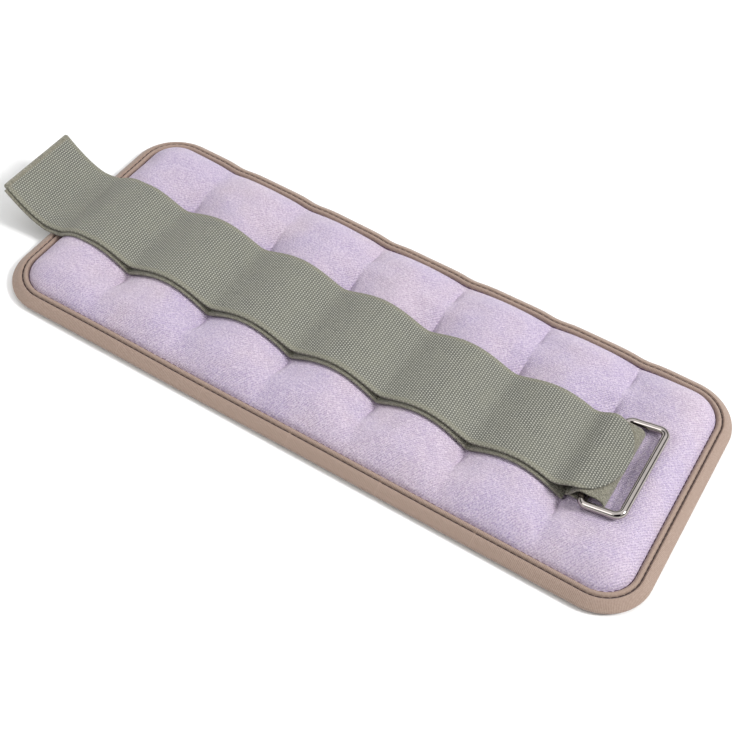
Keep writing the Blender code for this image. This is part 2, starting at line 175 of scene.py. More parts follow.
def settle(points):
    """The cuff's slight unevenness, the same for all it carries.

    The far edge is drawn in by a bell curve at each channel and one wide bell over its length, and both long
    edges rise and fall by a gentle ripple.
    """
    x, y, z = points[..., 0], points[..., 1], points[..., 2]
    near = np.min(np.abs(x[..., None] - CHANNELS), axis=-1)
    at_edge = smooth((np.abs(y) - 0.045) / 0.030)
    draw = EDGE_DRAW * np.exp(-((near / 0.007) ** 2)) * smooth((y - 0.045) / 0.030)
    bow = EDGE_BOW * np.exp(-(((x + 0.01) / 0.09) ** 2)) * smooth((y - 0.02) / 0.055)
    moved = points.copy()
    moved[..., 1] = y - np.sign(y) * draw - bow
    moved[..., 2] = z + 0.0006 * at_edge * ripple(x, y, seed=3, size=0.09)
    return moved


def face_height(x, y):
    """The knit face: level at the rim, a quick round shoulder, then pillows that dip at each channel.

    The shoulder is a sine of the depth to a power. The pillow is the crest less a dip times one minus the
    fullness. A narrow bell curve adds a sharp crease beside the strap and at the far rim.
    """
    rise = np.clip((depth(x, y) - SEAM_DEPTH) / SHOULDER_RUN, 0, 1)
    shoulder = np.sin(np.pi / 2 * rise) ** 0.62
    across = np.abs(y - STRAP_MID)
    dip = SLOPE_DIP + STRAP_DIP * (1 - smooth((across - STRAP_HALF) / 0.021))
    dip = dip + FAR_DIP * smooth((y - 0.034) / 0.026) * smooth((x + 0.09) / 0.05)
    under = 1 - smooth((across - 0.026) / 0.006)
    top = CREST - dip * (1 - fullness(x, 0.0012, 0.95)) - 0.0003 * under
    pucker = 0.00022 * ripple(x, y, seed=11, size=0.016) * (1 - fullness(x, 0.0012)) * (1 - under)
    swell = 0.0005 * ripple(x, y, seed=5, size=0.05) * (1 - under)
    away = np.min(np.abs(np.asarray(x)[..., None] - CHANNELS), axis=-1)
    by_strap = smooth((across - STRAP_HALF) / 0.004) * (1 - smooth((across - 0.030) / 0.019))
    by_rim = smooth((y - 0.040) / 0.012) * smooth((x + 0.06) / 0.05)
    crease = CREASE * np.exp(-((away / CREASE_WIDTH) ** 2)) * np.maximum(by_strap, 0.8 * by_rim)
    level = RIM_TOP - 0.0006
    return level + (top + pucker + swell - crease - level) * shoulder


def back_height(x, y):
    """The flat back: lifted along the rim, and drawn up a little at each channel."""
    lift = EDGE_LIFT * (1 - np.clip((depth(x, y) - 0.0095) / 0.006, 0, 1))
    near = np.min(np.abs(np.asarray(x)[..., None] - CHANNELS), axis=-1)
    return np.maximum(lift, 0.0010 * np.exp(-((near / 0.0035) ** 2)))


def tape_path(x, dip, height, soft, power=0.8):
    """Underside of a tape along the pockets: it sags into each channel and curls up past the end."""
    on_pockets = CREST - dip * (1 - fullness(x, soft, power))
    run = FALL + SEAM_DEPTH
    end = smooth((-HALF_LENGTH + run - x) / run)
    past = np.clip((-HALF_LENGTH - x) / OVERHANG, 0, 1)
    return on_pockets * (1 - end) + TAPE_HIGH * end + FOLD_RISE * past**1.6 + height


def higher(a, b, ease):
    """The higher of two heights, with their crossing rounded over ease."""
    return (a + b + np.sqrt((a - b) ** 2 + ease**2)) / 2


def loop_height(x):
    """The loop tape's underside: along its own path, and never below the face."""
    sagged = tape_path(x, dip=LOOP_DIP, height=0.0003, soft=0.0015, power=0.9)
    return higher(sagged, face_height(x, STRAP_MID) + 0.0002, 0.0005)


def hook_height(x):
    """The hook strap's underside: over the loop tape, and up over the ring's tab at its tip."""
    sagged = tape_path(x, dip=HOOK_DIP, height=0.0022, soft=0.0050, power=0.9)
    laid = higher(sagged, loop_height(x) + LOOP_TAPE + 0.0002, 0.0008)
    lift = smooth((x - CHANNELS[-1] + 0.010) / 0.0155)
    return laid * (1 - lift) + TIP_Z * lift


# ---- mesh helpers ----
def make_mesh(name, points, faces, material, uv=None):
    """A smooth-shaded object at the origin; uv is one row a point."""
    mesh = bpy.data.meshes.new(name)
    mesh.from_pydata(points.reshape(-1, 3).tolist(), [], faces)
    mesh.update()
    mesh.shade_smooth()
    if uv is not None:
        corners = np.zeros(len(mesh.loops), dtype=np.int32)
        mesh.loops.foreach_get("vertex_index", corners)
        mesh.uv_layers.new(name="cloth").data.foreach_set("uv", uv[corners].astype(np.float32).ravel())
    obj = bpy.data.objects.new(name, mesh)
    obj.data.materials.append(material)
    bpy.context.scene.collection.objects.link(obj)
    return obj


def grid_faces(rows, columns, start=0, wrap=False, flip=False):
    """Quads over a rows by columns grid; wrap joins the last column to the first."""
    i, j = np.meshgrid(np.arange(rows - 1), np.arange(columns if wrap else columns - 1), indexing="ij")
    k = (j + 1) % columns
    quads = np.stack([i * columns + j, i * columns + k, (i + 1) * columns + k, (i + 1) * columns + j], -1)
    quads = quads.reshape(-1, 4) + start
    return (quads[:, ::-1] if flip else quads).tolist()


def thick_sheet(name, top, bottom, material):
    """A closed sheet from two grids of points, joined round the rim, its rim edges kept sharp."""
    rows, columns = top.shape[:2]
    count = rows * columns
    index = np.arange(count).reshape(rows, columns)
    loop = np.concatenate([index[0], index[1:, -1], index[-1, -2::-1], index[-2:0:-1, 0]])
    following = np.roll(loop, -1)
    rim = np.stack([following, loop, loop + count, following + count], -1).tolist()
    faces = grid_faces(rows, columns, flip=True) + grid_faces(rows, columns, start=count) + rim
    uv = np.concatenate([top[..., :2].reshape(-1, 2), bottom[..., :2].reshape(-1, 2)])
    obj = make_mesh(name, np.concatenate([top.reshape(-1, 3), bottom.reshape(-1, 3)]), faces, material, uv)
    return turn_out(obj)


def turn_out(obj):
    """Makes a closed mesh's faces point outwards: the signed volume decides."""
    mesh = obj.data
    mesh.calc_loop_triangles()
    corners = np.zeros(len(mesh.loop_triangles) * 3, dtype=np.int32)
    mesh.loop_triangles.foreach_get("vertices", corners)
    points = np.zeros(len(mesh.vertices) * 3)
    mesh.vertices.foreach_get("co", points)
    triangles = points.reshape(-1, 3)[corners].reshape(-1, 3, 3)
    if np.linalg.det(triangles).sum() < 0:
        mesh.flip_normals()
    mesh.set_sharp_from_angle(angle=np.radians(55))
    return obj


def swept(name, rings, material, along, closed=False):
    """A closed form through a row of section rings, with open ends capped; along is each ring's place."""
    count, around = rings.shape[:2]
    faces = grid_faces(count, around, wrap=True)
    if closed:
        last = (count - 1) * around
        here = np.arange(around)
        beside = np.roll(here, -1)
        faces += np.stack([last + here, last + beside, beside, here], -1).tolist()
    else:
        faces += [list(range(around))[::-1], list(range((count - 1) * around, count * around))]
    girth = np.cumsum(np.linalg.norm(np.diff(rings[0], axis=0, prepend=rings[0][-1:]), axis=1))
    uv = np.stack(np.broadcast_arrays(along[:, None], girth[None, :]), -1).reshape(-1, 2)
    return turn_out(make_mesh(name, rings, faces, material, uv))


def capsules(name, middles, directions, ups, length, radius, material):
    """Short stitches: each an eight-sided grain, fullest in the middle, with its ends sunk in the cloth."""
    stations, sides = 7, 8
    t = np.linspace(-1, 1, stations)
    a = np.arange(sides) * TURN / sides
    fat = np.sqrt(np.maximum(1 - np.abs(t) ** 2.6, 0.02))
    side = np.cross(directions, ups)
    ring = (np.cos(a)[:, None, None] * side[None] + np.sin(a)[:, None, None] * ups[None]) * radius
    place = middles[None] + t[:, None, None] * directions[None] * length / 2
    place = place - (t**2)[:, None, None] * ups[None] * radius * 0.9
    points = place[:, None] + ring[None] * fat[:, None, None, None]
    points = points.transpose(2, 0, 1, 3)
    size = stations * sides
    starts = np.arange(len(middles))[:, None, None] * size
    faces = (np.array(grid_faces(stations, sides, wrap=True)) + starts).reshape(-1, 4).tolist()
    caps = np.stack([np.arange(sides)[::-1], np.arange(size - sides, size)])
    faces += (caps + starts).reshape(-1, sides).tolist()
    return turn_out(make_mesh(name, points, faces, material))


# ---- materials ----
def group(name, inputs, outputs):
    """A new node group with float inputs and outputs, and its input and output nodes."""
    tree = bpy.data.node_groups.new(name, "ShaderNodeTree")
    for label, kind, value in inputs:
        socket = tree.interface.new_socket(label, in_out="INPUT", socket_type=kind)
        if value is not None:
            socket.default_value = value
    for label, kind in outputs:
        tree.interface.new_socket(label, in_out="OUTPUT", socket_type=kind)
    return tree, tree.nodes.new("NodeGroupInput"), tree.nodes.new("NodeGroupOutput")


class Nodes:
    """Shorthand for one node tree: adding nodes, joining them and the few kinds that every material uses."""

    def __init__(self, tree):
        self.tree = tree

    def add(self, kind, **values):
        """A new node, with its settings."""
        node = self.tree.nodes.new(kind)
        for key, value in values.items():
            setattr(node, key, value)
        return node

    def place(self):
        """The place on the piece, in metres."""
        return self.add("ShaderNodeTexCoord").outputs["Object"]

    def join(self, source, target):
        """Links an output to an input."""
        self.tree.links.new(source, target)

    def put(self, socket, value):
        """Gives a socket a number, a colour or another node's output."""
        if isinstance(value, bpy.types.NodeSocket):
            self.join(value, socket)
        else:
            socket.default_value = value

    def math(self, operation, a, b=0.0, c=0.0):
        """One step of arithmetic."""
        node = self.add("ShaderNodeMath", operation=operation)
        for socket, value in zip(node.inputs, (a, b, c)):
            self.put(socket, value)
        return node.outputs[0]

    def noise(self, vector, scale, detail=2.0, roughness=0.5):
        """Soft noise with about so many lumps a metre."""
        node = self.add("ShaderNodeTexNoise")
        self.join(vector, node.inputs["Vector"])
        node.inputs["Scale"].default_value = scale
        node.inputs["Detail"].default_value = detail
        node.inputs["Roughness"].default_value = roughness
        return node.outputs["Fac"]

    def mix(self, factor, a, b):
        """Colour a where the factor is 0 and b where it is 1."""
        node = self.add("ShaderNodeMix", data_type="RGBA")
        for socket, value in zip((node.inputs[0], node.inputs[6], node.inputs[7]), (factor, a, b)):
            self.put(socket, value)
        return node.outputs[2]

    def band(self, value, low, high):
        """0 below low, 1 above high and even between."""
        node = self.add("ShaderNodeMapRange")
        self.join(value, node.inputs["Value"])
        node.inputs["From Min"].default_value = low
        node.inputs["From Max"].default_value = high
        return node.outputs["Result"]


def rgb(red, green, blue):
    """A colour from its 0 to 255 display values, made linear."""
    share = np.array([red, green, blue]) / 255
    linear = np.where(share > 0.04045, ((share + 0.055) / 1.055) ** 2.4, share / 12.92)
    return (*(float(v) for v in linear), 1.0)


def new_material(name, roughness, metallic=0.0, sheen=0.0):
    """A new material, its tree's shorthand and its shader."""
    made = bpy.data.materials.new(name)
    made.use_nodes = True
    shader = made.node_tree.nodes["Principled BSDF"]
    shader.inputs["Roughness"].default_value = roughness
    shader.inputs["Metallic"].default_value = metallic
    shader.inputs["Sheen Weight"].default_value = sheen
    return made, Nodes(made.node_tree), shader


def bump(n, shader, height, distance, strength):
    """Raises the shader's surface by a height, distance being the depth of the relief in metres."""
    node = n.add("ShaderNodeBump")
    n.put(node.inputs["Height"], height)
    node.inputs["Distance"].default_value = distance
    node.inputs["Strength"].default_value = strength
    n.join(node.outputs["Normal"], shader.inputs["Normal"])


def weave_group():
    """Staggered rows of raised yarn ends: a cosine each way, every second row moved half a step."""
    vector_in = ("Vector", "NodeSocketVector", None)
    tree, start, end = group(
        "staggered_weave",
        [vector_in, ("Along", "NodeSocketFloat", 700.0), ("Across", "NodeSocketFloat", 700.0)],
        [("Height", "NodeSocketFloat")],
    )
    n = Nodes(tree)
    split = n.add("ShaderNodeSeparateXYZ")
    n.join(start.outputs["Vector"], split.inputs[0])
    u = n.math("MULTIPLY", split.outputs[0], start.outputs["Along"])
    v = n.math("MULTIPLY", split.outputs[1], start.outputs["Across"])
    odd = n.math("MULTIPLY", n.math("MODULO", n.math("FLOOR", u), 2.0), 0.5)
    row = n.math("SUBTRACT", 1.0, n.math("COSINE", n.math("MULTIPLY", u, TURN)))
    yarn = n.math("ADD", 1.0, n.math("COSINE", n.math("MULTIPLY", n.math("ADD", v, odd), TURN)))
    n.join(n.math("MULTIPLY", n.math("MULTIPLY", row, yarn), 0.25), end.inputs["Height"])
    return tree


WEAVE = weave_group()


def woven(n, vector, along, across):
    """The staggered weave's height, with so many rows and yarns a metre."""
    node = n.add("ShaderNodeGroup", node_tree=WEAVE)
    n.join(vector, node.inputs["Vector"])
    node.inputs["Along"].default_value = along
    node.inputs["Across"].default_value = across
    return node.outputs["Height"]


def knit_material():
    """Lilac knit: soft pink and violet drifts, pale flecks and a fine diagonal loop relief."""
    made, n, shader = new_material("lilac_knit", 0.92, sheen=0.25)
    place = n.place()
    drift = n.band(n.noise(place, 38.0, 3.0), 0.38, 0.64)
    fleck = n.band(n.noise(place, 1050.0, 3.0, 0.8), 0.42, 0.60)
    colour = n.mix(drift, rgb(180, 164, 194), rgb(191, 173, 191))
    split = n.add("ShaderNodeSeparateXYZ")
    n.join(place, split.inputs[0])
    slant = n.math("MULTIPLY_ADD", split.outputs[0], 0.8, n.math("MULTIPLY", split.outputs[1], -0.6))
    wander = n.math("MULTIPLY", n.noise(place, 150.0, 2.0), 7.0)
    twill = n.math("SINE", n.math("MULTIPLY_ADD", slant, TURN / 0.00105, wander))
    loops = n.math("MULTIPLY_ADD", twill, 0.5, 0.5)
    colour = n.mix(n.math("MULTIPLY", n.math("SUBTRACT", 1.0, loops), 0.42), colour, rgb(122, 106, 142))
    colour = n.mix(n.math("MULTIPLY", fleck, 0.50), colour, rgb(232, 220, 230))
    n.join(colour, shader.inputs["Base Color"])
    bump(n, shader, n.math("ADD", loops, fleck), 0.00030, 0.6)
    return made


def hook_material():
    """Sage tape: staggered hook rows across its width, smoother browner selvages."""
    made, n, shader = new_material("sage_hook_tape", 0.85, sheen=0.1)
    flat = n.add("ShaderNodeUVMap", uv_map="cloth").outputs[0]
    place = n.place()
    split = n.add("ShaderNodeSeparateXYZ")
    n.join(place, split.inputs[0])
    side = n.math("ABSOLUTE", n.math("SUBTRACT", split.outputs[1], STRAP_MID))
    selvage = n.band(side, STRAP_HALF - 0.0030, STRAP_HALF - 0.0018)
    weave = n.add("ShaderNodeCombineXYZ")
    uv = n.add("ShaderNodeSeparateXYZ")
    n.join(flat, uv.inputs[0])
    n.join(uv.outputs[0], weave.inputs[0])
    n.join(split.outputs[1], weave.inputs[1])
    dots = woven(n, weave.outputs[0], 740.0, 740.0)
    worn = n.band(n.noise(place, 120.0, 3.0), 0.3, 0.7)
    colour = n.mix(dots, rgb(86, 87, 81), rgb(200, 199, 186))
    colour = n.mix(n.math("MULTIPLY", worn, 0.25), colour, rgb(138, 138, 122))
    colour = n.mix(n.math("MULTIPLY", selvage, 0.6), colour, rgb(124, 122, 106))
    n.join(colour, shader.inputs["Base Color"])
    flatter = n.math("MULTIPLY", dots, n.math("SUBTRACT", 1.0, n.math("MULTIPLY", selvage, 0.8)))
    bump(n, shader, flatter, 0.0006, 0.8)
    return made


def pile_material():
    """Loop pile: a dense tangle of short fibres, lighter where the loops stand up."""
    made, n, shader = new_material("sage_loop_pile", 0.97, sheen=0.35)
    place = n.place()
    tuft = n.band(n.noise(place, 1300.0, 4.0, 0.65), 0.34, 0.68)
    patch = n.band(n.noise(place, 210.0, 2.0), 0.35, 0.65)
    colour = n.mix(tuft, rgb(96, 94, 80), rgb(160, 156, 138))
    colour = n.mix(n.math("MULTIPLY", patch, 0.3), colour, rgb(138, 134, 116))
    n.join(colour, shader.inputs["Base Color"])
    bump(n, shader, n.math("MULTIPLY_ADD", patch, 0.6, tuft), 0.0006, 0.8)
    return made


def binding_material():
    """Taupe grosgrain: fine ribs square to the edge, read from the length along the tape."""
    made, n, shader = new_material("taupe_binding", 0.82, sheen=0.15)
    flat = n.add("ShaderNodeUVMap", uv_map="cloth").outputs[0]
    place = n.place()
    split = n.add("ShaderNodeSeparateXYZ")
    n.join(flat, split.inputs[0])
    rib = n.math("SINE", n.math("MULTIPLY", split.outputs[0], TURN / 0.0008))
    rib = n.math("MULTIPLY_ADD", rib, 0.5, 0.5)
    speck = n.noise(place, 1100.0, 2.0)
    colour = n.mix(rib, rgb(134, 113, 101), rgb(160, 138, 124))
    colour = n.mix(n.math("MULTIPLY", n.band(speck, 0.4, 0.7), 0.3), colour, rgb(178, 158, 145))
    n.join(colour, shader.inputs["Base Color"])
    bump(n, shader, n.math("MULTIPLY_ADD", speck, 0.5, rib), 0.00015, 0.4)
    return made


def nickel_material():
    """Dark bright nickel with faint drawing marks and handling smears."""
    made, n, shader = new_material("dark_nickel", 0.16, metallic=1.0)
    place = n.place()
    smear = n.noise(place, 260.0, 3.0)
    n.join(n.mix(smear, rgb(158, 151, 147), rgb(184, 177, 173)), shader.inputs["Base Color"])
    n.join(n.math("MULTIPLY_ADD", smear, 0.04, 0.02), shader.inputs["Roughness"])
    bump(n, shader, n.noise(place, 300.0, 1.0), 0.00002, 0.1)
    return made


def thread_material(name, dark, light):
    """Twisted thread: a close slanting twist."""
    made, n, shader = new_material(name, 0.7)
    place = n.place()
    twist = n.noise(place, 2600.0, 1.0)
    n.join(n.mix(n.band(twist, 0.35, 0.65), dark, light), shader.inputs["Base Color"])
    bump(n, shader, twist, 0.0001, 0.5)
    return made


def grit_material():
    """Iron grit: rounded cells, dark between the grains."""
    made, n, shader = new_material("iron_grit", 0.6, metallic=0.6)
    place = n.place()
    grain = n.add("ShaderNodeTexVoronoi")
    n.join(place, grain.inputs["Vector"])
    grain.inputs["Scale"].default_value = 900.0
    shade = n.mix(grain.outputs["Distance"], rgb(110, 110, 112), rgb(50, 50, 54))
    n.join(shade, shader.inputs["Base Color"])
    bump(n, shader, grain.outputs["Distance"], 0.0004, 1.0)
    return made


def nylon_material():
    """White bag cloth: a fine even weave."""
    made, n, shader = new_material("white_nylon", 0.7)
    place = n.place()
    cloth = woven(n, place, 1400.0, 1400.0)
    n.join(n.mix(cloth, rgb(205, 205, 200), rgb(236, 236, 232)), shader.inputs["Base Color"])
    bump(n, shader, cloth, 0.0001, 0.5)
    return made


knit = knit_material()
hook_tape = hook_material()
pile = pile_material()
edge_tape = binding_material()
nickel = nickel_material()
dark_thread = thread_material("brown_thread", rgb(40, 26, 26), rgb(74, 52, 50))
# dark plum thread for the row by the lip: partly the real seam's thread, partly painted shadow of the gap
# between the lip and the knit face
plum_thread_and_painted_shadow = thread_material("plum_thread_and_painted_shadow", rgb(58, 36, 56), rgb(96, 66, 92))
lilac_thread = thread_material("lilac_thread", rgb(150, 138, 176), rgb(196, 184, 216))
sage_thread = thread_material("sage_thread", rgb(88, 90, 78), rgb(134, 136, 120))
grit = grit_material()
nylon = nylon_material()

# ---- where the long pieces are cut ----
MIDDLES = np.arange(2, POCKETS) * PITCH - (POCKETS + 1) / 2 * PITCH


def over_channel(piece):
    """Piece c lies over channel c, from one pocket's body to the next; its placement is baked into its mesh.
    """
    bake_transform(piece)


def span(c, low, high):
    """Where piece c of a cloth from low to high begins and ends."""
    return (low if c == 1 else MIDDLES[c - 2]), (high if c == POCKETS - 1 else MIDDLES[c - 1])


# ---- the face's cloth simulation, on a grid of cells about 1.9 mm a side ----
GRID_X = np.linspace(FACE_INSET - HALF_LENGTH, HALF_LENGTH - FACE_INSET, 190)
GRID_Y = np.linspace(FACE_INSET - HALF_WIDTH, HALF_WIDTH - FACE_INSET, 79)


def simulated_lift():
    """How far the filling lifts the face, from a cloth simulation.

    The cloth is one even grid over the whole cuff, a little larger than its place, held at its rim, at its
    channels and under the strap. Pressure swells it with gravity off, the rise of each point is capped, and
    binomial passes take off the grid's own grain.
    """
    x, y = np.meshgrid(GRID_X, GRID_Y, indexing="ij")
    start = np.stack([x, y, face_height(x, y)], -1)
    aside = np.abs(y - STRAP_MID)
    away = np.min(np.abs(x[..., None] - CHANNELS), axis=-1)
    in_channel = (away < 0.0012) & (aside < 0.047)
    held = (depth(x, y) < SEAM_DEPTH + 0.002) | (aside < STRAP_HALF + 0.002) | in_channel
    mesh = bpy.data.meshes.new("face_trial")
    mesh.from_pydata(start.reshape(-1, 3).tolist(), [], grid_faces(len(GRID_X), len(GRID_Y)))
    trial = bpy.data.objects.new("face_trial", mesh)
    bpy.context.scene.collection.objects.link(trial)
    trial.vertex_groups.new(name="held").add(np.flatnonzero(held.ravel()).tolist(), 1.0, "REPLACE")
    cloth = trial.modifiers.new("Cloth", "CLOTH").settings
    cloth.quality, cloth.mass = 6, 0.3
    cloth.tension_stiffness = cloth.compression_stiffness = cloth.shear_stiffness = 12.0
    cloth.bending_stiffness = 0.05
    cloth.shrink_min = -0.009
    cloth.use_pressure, cloth.uniform_pressure_force = True, 0.6
    cloth.effector_weights.gravity = 0.0
    cloth.vertex_group_mass = "held"
    for moment in range(1, SWELL_FRAMES + 1):
        bpy.context.scene.frame_set(moment)
    swollen = trial.evaluated_get(bpy.context.evaluated_depsgraph_get()).to_mesh()
    points = np.zeros(start.size)
    swollen.vertices.foreach_get("co", points)
    bpy.context.scene.frame_set(1)
    bpy.data.objects.remove(trial)
    bpy.data.meshes.remove(mesh)
    lift = np.clip(points.reshape(start.shape)[..., 2] - start[..., 2], -LIFT_CAP, LIFT_CAP)
    for _ in range(3):
        lift[1:-1] = (lift[:-2] + 2 * lift[1:-1] + lift[2:]) / 4
        lift[:, 1:-1] = (lift[:, :-2] + 2 * lift[:, 1:-1] + lift[:, 2:]) / 4
    return lift


LIFT = simulated_lift()


def filled_height(x, y):
    """The face's height with the simulated lift, read between the four nearest points of its grid."""
    u = np.clip((x - GRID_X[0]) / (GRID_X[1] - GRID_X[0]), 0, len(GRID_X) - 1.001)
    v = np.clip((y - GRID_Y[0]) / (GRID_Y[1] - GRID_Y[0]), 0, len(GRID_Y) - 1.001)
    i, j = u.astype(int), v.astype(int)
    a, b = u - i, v - j
    low = LIFT[i, j] * (1 - b) + LIFT[i, j + 1] * b
    high = LIFT[i + 1, j] * (1 - b) + LIFT[i + 1, j + 1] * b
    return face_height(x, y) + low * (1 - a) + high * a


# ---- face and back ----
FACE_ROWS, BACK_ROWS = 116, 70


def crowded(count):
    """Shares across the width that crowd towards both edges: half a cosine and half even steps."""
    t = np.linspace(0, 1, count)
    return 0.55 * (1 - np.cos(np.pi * t)) / 2 + 0.45 * t


def panel_grid(low, high, inset, rows):
    """x and y over a stretch of the cuff: columns evenly apart, closer in a rounded end by a sine."""
    count = max(int(round((high - low) / PANEL_STEP)), 4)
    x = np.linspace(low, high, count + 1)
    limit = HALF_LENGTH - inset
    start = HALF_LENGTH - CORNER
    bent = np.abs(x) > start
    share = (np.abs(x[bent]) - start) / (limit - start)
    x[bent] = np.sign(x[bent]) * (start + (limit - start) * np.sin(np.pi / 2 * share))
    half = half_width_at(x, inset)
    y = (2 * crowded(rows)[None, :] - 1) * half[:, None]
    return np.broadcast_to(x[:, None], y.shape), y


def quilted_panel(name, c, rows, upper, lower):
    """Piece c of a panel, between two heights that are functions of x and y."""
    low, high = span(c, -HALF_LENGTH + FACE_INSET, HALF_LENGTH - FACE_INSET)
    x, y = panel_grid(low, high, FACE_INSET, rows)
    top = settle(np.stack([x, y, upper(x, y)], -1))
    bottom = settle(np.stack([x, y, lower(x, y)], -1))
    return thick_sheet(name, top, bottom, knit)


def face_under(x, y):
    """The underside of the face cloth."""
    return filled_height(x, y) - PANEL


def back_top(x, y):
    """The inner side of the back cloth."""
    return back_height(x, y) + PANEL


for c in range(1, POCKETS):
    face = quilted_panel(f"knit_face_{c}", c, FACE_ROWS, filled_height, face_under)
    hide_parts(f"face_panel_{c}", f"face_panel_{c + 1}")
    over_channel(face)
    back = quilted_panel(f"knit_back_{c}", c, BACK_ROWS, back_top, back_height)
    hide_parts(f"back_panel_{c}", f"back_panel_{c + 1}")
    over_channel(back)


# ---- edge binding ----
def binding_section():
    """The folded tape in (depth from the edge, height): under, round the edge, a stitched groove, a lip."""
    low, high = TAPE_LOW, TAPE_HIGH
    middle = (low + high) / 2
    bend = np.linspace(-np.pi / 2, np.pi / 2, 15)[:13]
    tight = 0.0016
    round_edge = np.stack([tight - tight * np.cos(bend), low + tight + tight * np.sin(bend)], -1)
    under = np.stack([np.linspace(0.0078, tight + 0.0006, 6), np.full(6, low)], -1)
    knots = np.array([18, 26, 34, 42, 50, 54, 57, 60, 64, 70, 77, 83, 87, 89]) * 0.0001
    lifts = np.array([-21, -14, -8, -3, -1, -5, -11, -12, -2, 4, 5, 1, -7, -16]) * 0.0001
    outer = np.concatenate([under, round_edge, np.stack([knots, high + lifts], -1)])
    step = np.gradient(outer, axis=0)
    step /= np.linalg.norm(step, axis=1, keepdims=True)
    inward = np.stack([step[:, 1], -step[:, 0]], -1)
    centre_side = np.sign(((np.array([0.006, middle]) - outer) * inward).sum(1))
    inner = outer + inward * centre_side[:, None] * BINDING
    return np.concatenate([outer, inner[::-1]])


def edge_run(side, low, high):
    """A straight run along one long edge: places on the edge and the inward normal at each."""
    count = int(round((high - low) / EDGE_STEP))
    x = np.linspace(low, high, count + 1)
    place = np.stack([x, np.full_like(x, side * HALF_WIDTH)], -1)
    inward = np.broadcast_to([0.0, -side], place.shape)
    return place, inward


def end_run(side, start):
    """Round one end of the cuff: in along the near edge, two quarter turns, and out along the far edge."""
    cx, cy = HALF_LENGTH - CORNER, HALF_WIDTH - CORNER
    near, near_in = edge_run(-1, start, cx)
    turn = np.linspace(0, np.pi / 2, 46)[1:]
    out = np.stack([np.sin(turn), -np.cos(turn)], -1)
    corner = np.array([cx, -cy]) + CORNER * out
    y = np.linspace(-cy, 0, 56)[1:]
    end = np.stack([np.full_like(y, HALF_LENGTH), y], -1)
    first = np.concatenate([near, corner, end])
    first_in = np.concatenate([near_in, -out, np.broadcast_to([-1.0, 0.0], end.shape)])
    place = np.concatenate([first, first[-2::-1] * [1, -1]])
    inward = np.concatenate([first_in, first_in[-2::-1] * [1, -1]])
    return place * [side, 1], inward * [side, 1]


def carried(place, inward, section):
    """Section rings along a path: depth goes inwards from the edge, height goes up."""
    flat = place[:, None, :] + inward[:, None, :] * section[None, :, :1]
    height = np.broadcast_to(section[None, :, 1:], (*flat.shape[:2], 1))
    return settle(np.concatenate([flat, height], -1))


def along_track(track, at):
    """Places on a track of points at the given lengths from its start."""
    far = arc(track)
    return np.stack([np.interp(at, far, track[:, 0]), np.interp(at, far, track[:, 1])], -1)


def edge_stitches(name, place, inward, inset, height, material):
    """Stitches end to end along the edge, at a depth from the edge and a height."""
    track = place + inward * inset
    at = np.arange(0.0018, arc(track)[-1] - 0.001, STITCH_PITCH)
    ahead = along_track(track, at + 0.0005) - along_track(track, at - 0.0005)
    ahead /= np.linalg.norm(ahead, axis=1, keepdims=True)
    level = np.full((len(at), 1), height)
    middles = settle(np.concatenate([along_track(track, at), level], 1))
    ahead = np.concatenate([ahead, np.zeros_like(level)], 1)
    ups = np.broadcast_to([0.0, 0.0, 1.0], ahead.shape)
    return capsules(name, middles, ahead, ups, STITCH, EDGE_THREAD, material)


# each row of thread along the binding: depth from the edge, height and thread
THREAD_ROWS = {
    "edge_stitches": (0.0058, TAPE_HIGH - 0.00075, dark_thread),
    # the lip row runs stitch into stitch as one dark line: a real seam, and painted shadow in the gap
    # between the lip and the face
    "lip_seam_and_painted_shadow": (0.0091, RIM_TOP + 0.0001, plum_thread_and_painted_shadow),
}


def bind(label, place, inward, nodes, c):
    """One length of binding over channel c, with its rows of thread. The argument c is not used."""
    tape = swept(f"edge_binding_{label}", carried(place, inward, binding_section()), edge_tape, arc(place))
    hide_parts(*nodes)
    over_channel(tape)
    for row, (inset, height, material) in THREAD_ROWS.items():
        thread = edge_stitches(f"{row}_{label}", place, inward, inset, height, material)
        over_channel(thread)


left_nodes = ["binding_left", "binding_near_2", "binding_far_2"]
right_nodes = ["binding_right", "binding_near_6", "binding_far_6"]
bind("left", *end_run(-1, -float(MIDDLES[0])), left_nodes, 1)
bind("right", *end_run(1, float(MIDDLES[-1])), right_nodes, POCKETS - 1)
for c in range(2, POCKETS - 1):
    low, high = span(c, 0, 0)
    for side, label in ((-1, "near"), (1, "far")):
        nodes = [f"binding_{label}_{c}", f"binding_{label}_{c + 1}"]
        bind(f"{label}_{c}", *edge_run(side, low, high), nodes, c)


# ---- tapes ----
def ribbon(name, path, thickness, material, half, along, middle=STRAP_MID):
    """A tape along a path in X and Z, its section square to the path: flat sides and rounded selvages."""
    step = np.gradient(path, axis=0)
    step /= np.linalg.norm(step, axis=1, keepdims=True)
    normal = np.stack([-step[:, 1], step[:, 0]], -1)
    edge = 1 - np.geomspace(0.002, 1, 12)
    t = np.unique(np.round(np.concatenate([-edge, edge, np.linspace(-0.96, 0.96, 49), [-1, 1]]), 5))
    width = np.broadcast_to(half, len(path))[:, None]
    inset = np.clip((1 - np.abs(t)) * width / SELVAGE, 0, 1)
    swell = np.sqrt(1 - (1 - inset) ** 2) * 0.5
    across = np.concatenate([t, t[::-1][1:-1]]) * width
    through = np.concatenate([0.5 + swell, (0.5 - swell)[:, ::-1][:, 1:-1]], 1) * thickness
    x = path[:, None, 0] + normal[:, None, 0] * through
    z = path[:, None, 1] + normal[:, None, 1] * through
    return swept(name, np.stack([x, across + middle, z], -1), material, along)


